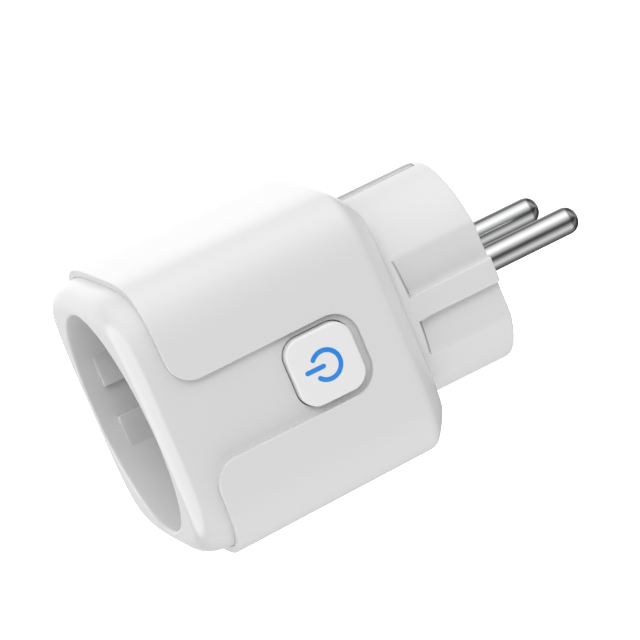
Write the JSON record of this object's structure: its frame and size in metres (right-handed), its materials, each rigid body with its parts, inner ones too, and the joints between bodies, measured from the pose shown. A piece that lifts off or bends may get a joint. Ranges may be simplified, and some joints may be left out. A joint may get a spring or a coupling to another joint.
{
  "type": "smart plug",
  "caption": "Pass-through smart plug: round two-pin plug with earth strips at the back, square white body with a side push button, recessed socket at the front.",
  "frame": {"origin": "centre of the plug's end face, where the pins come out", "axes": "+Y along the pins towards the wall socket, -Y towards the socket mouth, +Z towards one earth strip, +X towards the button side"},
  "size_m": [0.0506, 0.0853, 0.0504],
  "materials": {
    "white_shell": "satin gloss",
    "white_housing": "satin gloss",
    "button_white": "soft gloss",
    "icon_blue": "translucent gloss",
    "pin_nickel": "nickel plated",
    "earth_nickel": "nickel plated strip",
    "contact_brass": "stamped",
    "carrier_grey": "matte",
    "screw_steel": "zinc plated",
    "board_green": "solder mask",
    "relay_blue": "gloss",
    "relay_iron": "plated iron",
    "coil_copper": "enamelled winding",
    "black_part": "matte",
    "capacitor_sleeve": "heat-shrink sleeve",
    "varistor_blue": "dipped epoxy",
    "resistor_green": "lacquer",
    "shunt_alloy": "alloy wire",
    "shield_tin": "tinned",
    "led_lens": "clear lens",
    "plunger_black": "matte"
  },
  "bodies": {
    "case": {"board_header": "black_part", "board_screws": "screw_steel", "carrier_screws": "screw_steel", "choke": "black_part", "contact_carrier": "carrier_grey", "control_board": "board_green", "current_shunt": "shunt_alloy", "earth_bracket": "earth_nickel", "earth_link": "earth_nickel", "front_housing": "white_housing", "fuse_resistor": "resistor_green", "high_voltage_capacitor": "capacitor_sleeve", "output_capacitor": "capacitor_sleeve", "pin_strap_left": "contact_brass", "pin_strap_right": "contact_brass", "plug_earth_yoke": "earth_nickel", "plug_pin_left": "pin_nickel", "plug_pin_right": "pin_nickel", "power_board": "board_green", "power_chips": "black_part", "rear_shell": "white_shell", "relay_base": "relay_blue", "relay_coil": "coil_copper", "relay_cover": "relay_blue", "relay_fixed_contact": "contact_brass", "relay_yoke": "relay_iron", "shutter_pin": "screw_steel", "shutter_spring": "screw_steel", "socket_contact_left": "contact_brass", "socket_contact_right": "contact_brass", "status_led": "led_lens", "switch_body": "black_part", "transformer": "black_part", "varistor": "varistor_blue", "wifi_module": "board_green", "wifi_shield": "shield_tin"},
    "button": {"button_cap": "button_white", "power_icon": "icon_blue"},
    "plunger": {"switch_plunger": "plunger_black"},
    "shutter_rotor": {"shutter": "carrier_grey"},
    "armature": {"relay_armature": "relay_iron"}
  },
  "joints": [
    {"name": "button_press", "type": "slide", "parent": "case", "child": "button", "axis": [-1, 0, 0], "range_m": [0, 0.00045], "stiffness_N_per_m": 3000, "springref_m": -0.0003},
    {"name": "switch_plunger_travel", "type": "slide", "parent": "case", "child": "plunger", "axis": [-1, 0, 0], "range_m": [0, 0.00045]},
    {"name": "shutter_turn", "type": "hinge", "parent": "case", "child": "shutter_rotor", "pos_m": [0, -0.0449, 0], "axis": [0, 1, 0], "range_deg": [0, 40], "stiffness_Nm_per_rad": 0.004, "springref_deg": -20.05},
    {"name": "relay_armature_swing", "type": "hinge", "parent": "case", "child": "armature", "pos_m": [0, -0.0124, 0.0019], "axis": [1, 0, 0], "range_deg": [-3, 0], "stiffness_Nm_per_rad": 0.02, "springref_deg": 6.88}
  ],
  "couplings": [
    {"joint": "switch_plunger_travel", "follows": "button_press", "ratio": 1}
  ]
}
